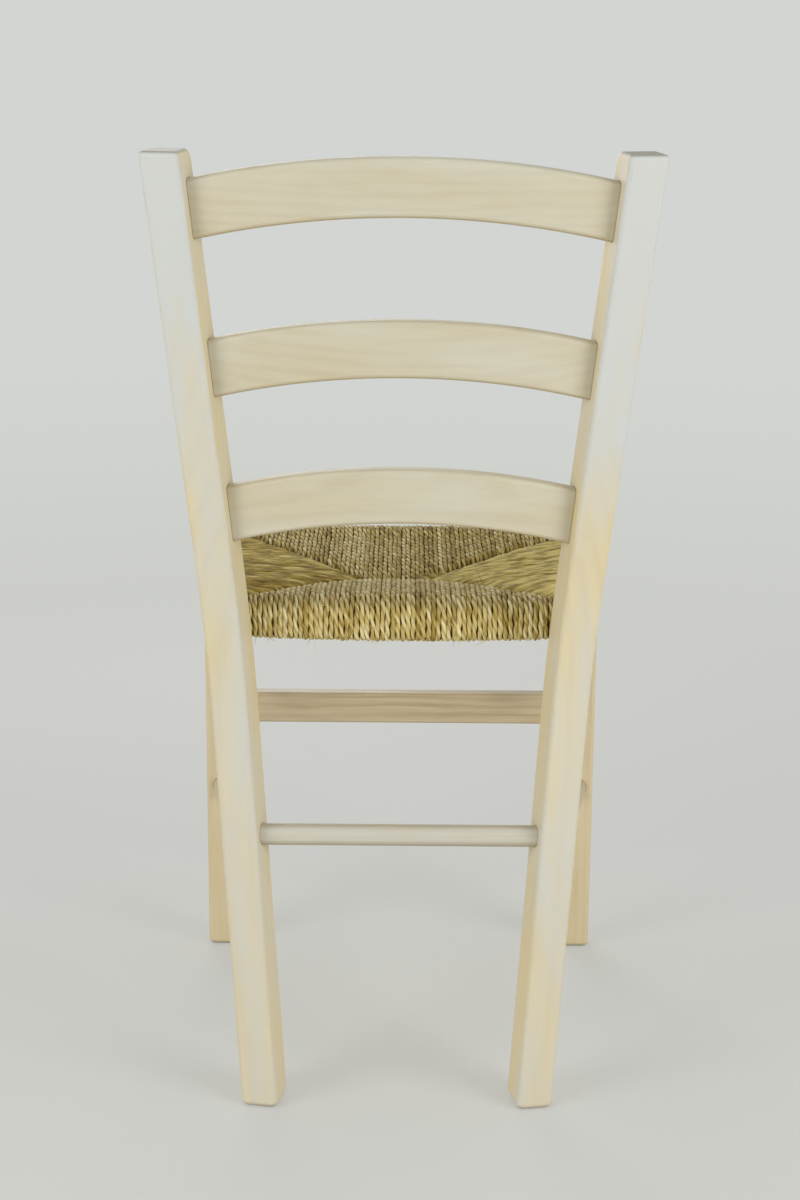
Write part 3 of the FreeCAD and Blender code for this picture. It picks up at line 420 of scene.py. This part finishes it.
def wrap_path(panel, line, travelled, radius, sway=0.0, tuck=TUCK_DEPTH):
    """Points of strands wound over a rail, as arrays.

    From the mitre a strand runs outward over the crown, which falls toward the middle of the seat
    as the square of the distance from the rail. It turns a quarter circle over the nose, runs
    down the face, turns another quarter circle and runs back under the seat, which rises the same
    way. The stuffing swells the panel most at the middle of its rail, as one less the square of
    the distance along it, and across the rail as a bell curve. The rear panel bulges back by a
    smooth step across its rail, times one less the fourth power of the distance along it. By a
    mitre the strand sinks into a valley, a bell curve, and tucks in along a logistic curve. sway
    shifts it sideways.
    """
    x, y, inward, reach = line
    upper, lower = NOSE_TOP - radius, NOSE_UNDER - radius
    (top_length, first_length, face_length, second_length, _), skip, _ = wrap_parts(reach, radius)
    travelled = travelled + skip
    top = np.minimum(travelled, top_length)
    first = np.clip((travelled - top_length) / upper, 0, np.pi / 2)
    down = travelled - top_length - first_length
    face = np.clip(down, 0, face_length)
    second = np.clip((down - face_length) / lower, 0, np.pi / 2)
    bottom = np.maximum(down - face_length - second_length, 0)
    out = (NOSE_TOP - RIM + top_length - top - upper * np.sin(first)
           + lower * (1 - np.cos(second)) + bottom)
    half = {"front": LEG_INNER, "rear": REAR_CORNER_X, "side": (REAR_Y - LEG_BACK) / 2}[panel]
    along = (y - (REAR_Y + LEG_BACK) / 2 if panel == "side" else x) / half
    bulge = np.clip(0.5 - out / BULGE_LENGTH, 0, 1) * (panel == "rear")
    bulge = bulge ** 2 * (3 - 2 * bulge) * (1 - np.minimum(along ** 4, 1))
    out = out - bulge * REAR_BULGE
    px = x + inward[0] * out - inward[1] * sway
    py = y + inward[1] * out + inward[0] * sway
    pz = RIM_TOP - radius - upper * (1 - np.cos(first)) - face - lower * np.sin(second)
    swell = 1 - np.minimum(along ** 2, 1)
    swell = swell * np.exp(-(((out - STUFFED_PLACE) / STUFFED_REACH) ** 2))
    fallen = np.clip((RIM_TOP - pz) / (RIM_TOP - RIM_BOTTOM), 0, 1)
    fallen = fallen ** 2 * (3 - 2 * fallen)
    pz = pz + swell * (STUFFED_TOP[panel] * (1 - fallen) - STUFFED_UNDER[panel] * fallen)
    pz = pz - bulge * REAR_SLOPE * (1 - fallen)

    share = np.clip(out / RUNS[panel], 0, 1.1) ** 2
    edge = depth_inside(panel, px, py)
    sink = tuck / (1 + np.exp(np.clip((edge - TUCK_PLACE[panel]) / TUCK_LENGTH[panel], -30, 30)))
    sink = sink + VALLEY_DEPTH[panel] * np.exp(-((np.maximum(edge, 0) / VALLEY_REACH) ** 2))
    sink = sink * np.clip((out - SINK_START) / SINK_GROWTH, 0, 1)
    pz = pz + np.where(fallen < 0.5, -SEAT_DIP * share - sink, SEAT_UNDERDIP * share + sink)
    return np.stack([px, py, pz], 1)


def tube_faces(rings, sides):
    """Quads and end caps of tubes with so many rings each, all in one list of points."""
    owner = np.repeat(np.arange(len(rings)), rings)
    ring = np.nonzero(owner[:-1] == owner[1:])[0]
    side = np.arange(sides)
    after = (side + 1) % sides
    low = ring[:, None] * sides
    quads = np.stack([low + side, low + after, low + sides + after, low + sides + side], 2)
    last = np.cumsum(rings) - 1
    first = last - rings + 1
    caps = np.concatenate([first[:, None] * sides + side[::-1], last[:, None] * sides + side])
    return quads.reshape(-1, 4), caps, ring


def wound_strands(name, panel, hand, places, radius, lay, lobe, wander, swirl, painted_lighting, material,
                  seed):
    """Strands of two plies, twisted S-wise and wound side by side over one rail, as one piece.

    A cross-section is a circle pinched in at its two waists, by lobe times the square of the sine
    of the angle from the plies' axis, and it turns once in twice the lay. Rings stand at even
    steps along every strand, so a longer strand has more of them. wander is how far a strand sways,
    as the sum of a long and a short sine. swirl carries the upper ends toward the rear along a
    falling exponential, on the rear half of a side panel. shade makes the whole panel lighter,
    as painted light.
    """
    sides, step = 8, 2.4 * MM
    chance = np.random.default_rng(seed)
    count = len(places)
    places = places + chance.uniform(-0.3, 0.3, count) * MM
    x, y, inward, reach = rail_line(panel, places, hand)
    parts, skip, whole = wrap_parts(reach, radius)
    rings = np.maximum((whole / step).astype(int), 6)
    owner = np.repeat(np.arange(count), rings)
    order = np.arange(rings.sum()) - np.repeat(np.cumsum(rings) - rings, rings)
    travelled = order / (rings[owner] - 1) * whole[owner]
    waves = chance.uniform(0, TAU, (5, count))
    long_wave, short_wave = chance.uniform(45, 70, count) * MM, chance.uniform(14, 24, count) * MM
    rearward = np.clip((y - BRIDGE_Y - SWIRL_START) / SWIRL_GROWTH, 0, 1) * inward[0] * swirl
    loft = chance.normal(0, wander * 0.45, count)

    def follow(distance):
        """The strands' middle lines, swaying a little as they go."""
        sway = wander * np.sin(TAU * distance / long_wave[owner] + waves[0][owner])
        sway = sway + wander * 0.5 * np.sin(TAU * distance / short_wave[owner] + waves[1][owner])
        sway = sway + rearward[owner] * np.exp(-distance / SWIRL_FADE)
        line = (x[owner], y[owner], inward, reach[owner])
        points = wrap_path(panel, line, distance, radius, sway)
        rise = loft[owner] * np.cos(TAU * distance / long_wave[owner] + waves[4][owner])
        points[:, 2] += rise
        return points

    middle = follow(travelled)
    tiny = 0.2 * MM
    heading = follow(np.minimum(travelled + tiny, whole[owner]))
    heading = heading - follow(np.maximum(travelled - tiny, 0))
    heading /= np.linalg.norm(heading, axis=1, keepdims=True)
    level = np.array([-inward[1], inward[0], 0.0])
    beside = level - heading * (heading @ level)[:, None]
    beside /= np.linalg.norm(beside, axis=1, keepdims=True)
    outward = np.cross(beside, heading)

    in_ply = np.arange(sides) / sides * TAU
    pinch = np.sin(in_ply) ** 2
    turn = waves[2][owner] - TAU * travelled / (2 * lay)
    angle = in_ply[None, :] + turn[:, None]
    uneven = 0.06
    swell = 1 + uneven * np.sin(TAU * travelled / long_wave[owner] + waves[3][owner])
    swell = swell + uneven * np.sin(TAU * travelled / short_wave[owner] + waves[4][owner])
    swell = swell * chance.uniform(0.92, 1.08, count)[owner]
    from_end = np.minimum(travelled, whole[owner] - travelled)
    thinnest = 0.4
    swell = swell * np.clip(thinnest + from_end / END_TAPER, thinnest, 1)
    width = radius * swell[:, None] * (1 - lobe * pinch)[None, :]
    points = (middle[:, None, :]
              + (width * np.cos(angle))[..., None] * outward[:, None, :]
              + (width * np.sin(angle))[..., None] * beside[:, None, :])

    # Each strand's fibres are shifted against its neighbour's, along it and around it.
    quads, caps, ring = tube_faces(rings, sides)
    around = radius * TAU / sides
    along = travelled + 0.37 * owner
    low = np.arange(sides) * around + 0.11 * owner[ring][:, None]
    uv = np.empty((len(ring), sides, 4, 2))
    uv[:, :, :2, 0] = along[ring][:, None, None]
    uv[:, :, 2:, 0] = along[ring + 1][:, None, None]
    uv[:, :, 0::3, 1] = low[..., None]
    uv[:, :, 1:3, 1] = low[..., None] + around

    ply_tone = chance.normal(0, 0.12, (count, 2)) + chance.normal(0, 0.11, count)[:, None]
    first_ply = (np.cos(in_ply) * 0.5 + 0.5)[None, :]
    tone = ply_tone[owner, 0][:, None] * first_ply + ply_tone[owner, 1][:, None] * (1 - first_ply)
    tone = tone + 0.08 * np.sin(TAU * travelled / long_wave[owner] + waves[1][owner])[:, None]
    # Each panel is made lighter by a set amount, as painted light, and the rear panel darker beside
    # a post, as painted shade.
    by_post = np.clip(1 - (REAR_CORNER_X - np.abs(x)) / SHADE_AND_RUST_REACH, 0, 1) * (panel == "rear")
    tone = tone + painted_lighting - 0.35 * by_post[owner][:, None]
    stained = (parts[0] + parts[1] - skip + SHADE_AND_RUST_REACH)[owner]
    rust = 0.55 * by_post[owner] * (x[owner] < 0)
    rust = rust * np.exp(-(((travelled - stained) / SHADE_AND_RUST_REACH) ** 2))
    # Grooves between the plies and the hidden ends are darkened in the material: painted shade.
    hidden = np.clip(1 - from_end / END_SHADOW, 0, 1)
    groove = np.clip(pinch[None, :] ** 2 * (0.55 + lobe) + hidden[:, None], 0, 1)
    piece = mesh_piece(
        name, points.reshape(-1, 3), quads, caps, material, uv.reshape(-1, 2),
        (("tone", tone), ("groove", groove), ("rust", np.repeat(rust, sides))),
    )
    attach(piece, "root")
    return piece


def seat_core(name, panel, hand, start, end, material):
    """The straw under one panel: closed loops that follow the strands' path a little deeper."""
    rows, stations = 70, 64
    x, y, inward, reach = rail_line(panel, np.linspace(start, end, rows), hand)
    _, _, whole = wrap_parts(reach, CORE_INSET)
    owner = np.repeat(np.arange(rows), stations)
    travelled = (whole[:, None] * np.linspace(0, 1, stations)[None, :]).ravel()
    line = (x[owner], y[owner], inward, reach[owner])
    points = wrap_path(panel, line, travelled, CORE_INSET, tuck=3 * MM)
    row = np.arange(rows - 1)[:, None] * stations
    station = np.arange(stations)
    after = (station + 1) % stations
    quads = np.stack([row + station, row + after, row + stations + after,
                      row + stations + station], 2).reshape(-1, 4)
    caps = np.stack([station[::-1], (rows - 1) * stations + station])
    if hand < 0 or panel == "rear":
        quads, caps = quads[:, ::-1], caps[:, ::-1]
    piece = mesh_piece(name, points, quads, caps, material)
    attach(piece, "root")
    return piece


def loose_fibres(name, roots, headings, length, material, seed):
    """Broken ends of sedge that stand out of the winding, each a thin taper.

    A fibre leaves its root along its heading and bends by the square of the way along it.
    """
    rings, sides = 7, 4
    chance = np.random.default_rng(seed)
    count = len(roots)
    headings = headings / np.linalg.norm(headings, axis=1, keepdims=True)
    bends = chance.normal(0, 0.35, (count, 3))
    lengths = length * chance.uniform(0.4, 1.3, count)
    share = np.linspace(0, 1, rings)
    middle = roots[:, None, :] + lengths[:, None, None] * (
        headings[:, None, :] * share[None, :, None] + bends[:, None, :] * share[None, :, None] ** 2
    )
    beside = np.cross(headings, bends)
    beside /= np.linalg.norm(beside, axis=1, keepdims=True)
    across = np.cross(beside, headings)
    width = (chance.uniform(0.25, 0.5, count) * MM)[:, None] * (1 - 0.85 * share)[None, :]
    angle = np.arange(sides) / sides * TAU
    points = (middle[:, :, None, :]
              + (width[:, :, None] * np.cos(angle))[..., None] * beside[:, None, None, :]
              - (width[:, :, None] * np.sin(angle))[..., None] * across[:, None, None, :])
    quads, caps, _ = tube_faces(np.full(count, rings), sides)
    along = np.repeat(share[None, :] * lengths[:, None], sides, 1).ravel()
    pairs = np.stack([along, np.repeat(np.arange(count), rings * sides) * 0.003], 1)
    tone = np.repeat(chance.normal(0.1, 0.2, count), rings * sides)
    rust = np.repeat((chance.random(count) < 0.08) * 0.7, rings * sides)
    piece = mesh_piece(name, points.reshape(-1, 3), quads, caps, material, pairs[quads.ravel()],
                       (("tone", tone), ("groove", np.zeros(len(tone))), ("rust", rust)))
    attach(piece, "root")


def spread(start, end, pitch):
    """Even places between two ends, as near to a pitch as a whole number of strands allows."""
    count = int(round((end - start) / pitch))
    return start + (np.arange(count) + 0.5) * (end - start) / count


def build_seat():
    """Wind the four panels, each over its own core, and leave a few loose ends."""
    strong = twisted_sedge(
        "twisted sedge",
        ((0.0, "#775f28"), (0.3, "#b0974a"), (0.6, "#d5be76"), (1.0, "#f1e4b0")),
        0.0007, 0.12,
    )
    soft = twisted_sedge(
        "loosely twisted sedge",
        ((0.0, "#6b5320"), (0.3, "#9a823a"), (0.6, "#c0a858"), (1.0, "#e2d08a")),
        0.0005, 0.0,
    )
    straw = packed_straw()
    wound = {"radius": 2.6 * MM, "lay": 13 * MM, "lobe": 0.36, "wander": 0.35 * MM,
             "swirl": 0.0, "material": strong}
    laid = {"radius": 3.3 * MM, "lay": 32 * MM, "lobe": 0.3, "wander": 0.9 * MM,
            "material": soft}
    # The strands' and the core's clearances from the legs and from the posts.
    leg_gap, core_leg_gap = 0.5 * MM, 2 * MM
    post_gap, core_post_gap = 3 * MM, 8 * MM
    wound_pitch, laid_pitch = 4.7 * MM, 5.2 * MM

    # Each panel is made lighter by its own amount: painted light.
    front = wound_strands("rush_front", "front", 1,
                          spread(-LEG_INNER + leg_gap, LEG_INNER - leg_gap, wound_pitch),
                          painted_lighting=0.0, seed=11, **wound)
    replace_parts(front, "rush_panel_front")
    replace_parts(seat_core("straw_front", "front", 1, -LEG_INNER + core_leg_gap,
                          LEG_INNER - core_leg_gap, straw), "straw_packing_front")
    rear = wound_strands("rush_rear", "rear", 1,
                         spread(-REAR_CORNER_X + post_gap, REAR_CORNER_X - post_gap, wound_pitch),
                         painted_lighting=0.11, seed=12, **wound)
    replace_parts(rear, "rush_panel_rear")
    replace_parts(seat_core("straw_rear", "rear", 1, -REAR_CORNER_X + core_post_gap,
                          REAR_CORNER_X - core_post_gap, straw), "straw_packing_rear")
    for word, hand, swirl, painted_lighting in (("left", 1, 4 * MM, 0.03), ("right", -1, 18 * MM, 0.34)):
        rush = wound_strands("rush_" + word, "side", hand,
                             spread(LEG_BACK + leg_gap, REAR_Y - post_gap, laid_pitch),
                             swirl=swirl, painted_lighting=painted_lighting, seed=13 + hand, **laid)
        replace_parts(rush, "rush_panel_" + word)
        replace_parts(seat_core("straw_" + word, "side", hand, LEG_BACK + core_leg_gap,
                              REAR_Y - core_post_gap, straw), "straw_packing_" + word)

    # Loose ends stand out along the rear panel, and one pale tuft lies on its right-hand mitre.
    chance = np.random.default_rng(41)
    count, in_tuft = 110, 16
    thin = 0.6 * MM
    line = rail_line("rear", chance.uniform(-0.93, 0.93, count) * REAR_CORNER_X, 1)
    parts, skip, whole = wrap_parts(line[3], thin)
    around = parts[0] - skip + chance.uniform(-0.8, 2.2, count) * (parts[1] + parts[2] / 2)
    around = np.clip(around, 0, whole - MM)
    here = wrap_path("rear", line, around, thin)
    ahead = wrap_path("rear", line, around + MM, thin)
    outward = here - np.stack([here[:, 0], np.full(count, REAR_RAIL_Y),
                               np.full(count, (RIM_TOP + RIM_BOTTOM) / 2)], 1)
    headings = (ahead - here) / MM + outward / np.linalg.norm(outward, axis=1)[:, None] * 0.5
    loose_fibres("loose_ends", here, headings + chance.normal(0, 0.3, (count, 3)), 8 * MM,
                 strong, 51)
    tuft = np.array(TUFT_PLACE) + chance.normal(0, 1.5, (in_tuft, 3)) * MM
    fan = np.array(TUFT_HEADING) + chance.normal(0, 0.25, (in_tuft, 3))
    loose_fibres("pale_tuft", tuft, fan, 15 * MM, strong, 52)


def dress_wood():
    """Give each wooden piece its beech, with the grain along the piece."""
    quarter = math.pi / 2
    upright = (0.0, quarter, 0.0)
    level = (0.0, 0.0, 0.0)
    deep = (0.0, 0.0, quarter)
    finishes = {
        "rear_post": bleached_beech("whitewashed beech, posts", upright, "#cccdc8", "#dfcc98",
                                    "#ccb888", 0.3, rear_white=(0.2, 0.9), pith=(0.05, 0.02)),
        "front_leg": bleached_beech("whitewashed beech, front legs", upright, "#decfae",
                                    "#d4c297", "#b9a378", 0.35, pith=(0.3, 0.19)),
        "slat": bleached_beech("whitewashed beech, slats", level, "#d0cdbb", "#cbbe9c",
                               "#b6a47d", 0.4, rear_white=(0.25, 0.15), pith=(-0.12, -0.62)),
        "front_stretcher": bleached_beech("whitewashed beech, stretcher", level, "#d8cbac",
                                          "#cdba96", "#9f8a68", 0.65, pith=(0.20, -0.26)),
        "rear_rung": bleached_beech("whitewashed beech, rear rung", level, "#cfcdc2", "#c5bba4",
                                    "#aa9d80", 0.4, rear_white=(0.3, 0.3), pith=(-0.17, -0.25)),
        # The side rungs' colours are darker than the rear rung's: painted shade.
        "side_rung": bleached_beech("whitewashed beech, side rungs in painted shade", deep, "#d0c4a6", "#c5b38e",
                                    "#ae996f", 0.3, pith=(0.17, -0.25)),
        "seat_rail": bleached_beech("raw beech, seat rails", level, "#cbb995", "#bfa67c",
                                    "#9c8259", 0.4),
    }
    for name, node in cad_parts.items():
        for start, finish in finishes.items():
            if name.startswith(start):
                node.data.materials.clear()
                node.data.materials.append(finish)


def seen_or_mirrored(tree):
    """One for rays from the eye and for those that gloss or glass sends on, else nothing."""
    path = add(tree, "ShaderNodeLightPath").outputs
    ray = add(tree, "ShaderNodeMath", {0: path["Is Camera Ray"], 1: path["Is Glossy Ray"]},
              operation="MAXIMUM").outputs[0]
    return add(tree, "ShaderNodeMath", {0: ray, 1: path["Is Transmission Ray"]},
               operation="MAXIMUM").outputs[0]


def studio():
    """A floor of pale paper that fades into an even pale room, and soft light all round."""
    material, tree, shader = new_material("pale paper")
    shader.inputs["Base Color"].default_value = linear("#e6e6e2")
    shader.inputs["Roughness"].default_value = 0.9
    shader.inputs["Specular IOR Level"].default_value = 0.1
    place = add(tree, "ShaderNodeTexCoord").outputs["Object"]
    away = add(tree, "ShaderNodeVectorMath", {0: place}, operation="LENGTH").outputs["Value"]
    far = add(tree, "ShaderNodeMapRange",
              {"Value": away, "From Min": 0.7, "From Max": 2.2, "To Min": 0.5},
              interpolation_type="SMOOTHSTEP").outputs["Result"]
    fade = add(tree, "ShaderNodeMath", {0: far, 1: seen_or_mirrored(tree)},
               operation="MULTIPLY").outputs[0]
    shares = add(tree, "ShaderNodeMath", {0: away, 1: 8.0}, operation="DIVIDE").outputs[0]
    paper = add(tree, "ShaderNodeValToRGB", {"Fac": shares},
                ((0.1, "#c9cac5"), (0.5, "#d0d2ce"), (0.9, "#d2d5d2"))).outputs["Color"]
    glow = add(tree, "ShaderNodeEmission", {"Color": paper, "Strength": 1.0})
    faded = add(tree, "ShaderNodeMixShader", {0: fade, 1: shader.outputs[0], 2: glow.outputs[0]})
    output = next(node for node in tree.nodes if node.type == "OUTPUT_MATERIAL")
    tree.links.new(faded.outputs[0], output.inputs["Surface"])
    row, half_side = 9, 12
    steps = np.linspace(-half_side, half_side, row)
    points = np.stack([np.tile(steps, row), np.repeat(steps, row), np.zeros(row * row)], 1)
    cell = np.arange(row - 1)
    corner = (cell[:, None] * row + cell).ravel()
    quads = np.stack([corner, corner + 1, corner + row + 1, corner + row], 1)
    mesh_piece("paper_floor", points, quads, np.zeros((0, 4), int), material)

    world = bpy.data.worlds.new("pale room")
    bpy.context.scene.world = world
    world.use_nodes = True
    tree = world.node_tree
    tree.nodes.clear()
    soft = add(tree, "ShaderNodeBackground", {"Color": linear("#f6f8f9"), "Strength": 0.47})
    wall = add(tree, "ShaderNodeBackground", {"Color": linear("#d2d5d2"), "Strength": 1.0})
    both = add(tree, "ShaderNodeMixShader",
               {0: seen_or_mirrored(tree), 1: soft.outputs[0], 2: wall.outputs[0]})
    add(tree, "ShaderNodeOutputWorld", {"Surface": both.outputs[0]})
    softbox("softbox on the left", (2.3, 1.9, 1.2), 38)
    softbox("softbox on the right", (-2.3, 1.9, 1.2), 43)
    softbox("softbox in front", (0.6, -2.8, 1.5), 24)


def softbox(name, place, power):
    """A softbox 1.6 m square that faces the middle of the chair."""
    lamp = bpy.data.lights.new(name, "AREA")
    lamp.size = 1.6
    lamp.energy = power
    item = bpy.data.objects.new(name, lamp)
    item.location = place
    aim = Vector((0.0, 0.0, 0.45)) - Vector(place)
    item.rotation_euler = aim.to_track_quat("-Z", "Y").to_euler()
    bpy.context.scene.collection.objects.link(item)


def camera():
    """Set up the photograph's view from behind."""
    lens = bpy.data.cameras.new("photo camera")
    lens.sensor_fit = "VERTICAL"
    lens.sensor_height = 36
    lens.lens = FOCAL_PIXELS / PHOTO_HEIGHT * lens.sensor_height
    item = bpy.data.objects.new("photo camera", lens)
    item.matrix_world = (
        Matrix.Translation(CAMERA_PLACE)
        @ Matrix.Rotation(math.pi + CAMERA_YAW, 4, "Z")
        @ Matrix.Rotation(math.pi / 2 - CAMERA_PITCH, 4, "X")
        @ Matrix.Rotation(CAMERA_ROLL, 4, "Z")
    )
    bpy.context.scene.collection.objects.link(item)
    bpy.context.scene.camera = item


camera()
dress_wood()
build_seat()
studio()
bpy.context.scene.view_settings.view_transform = "Standard"
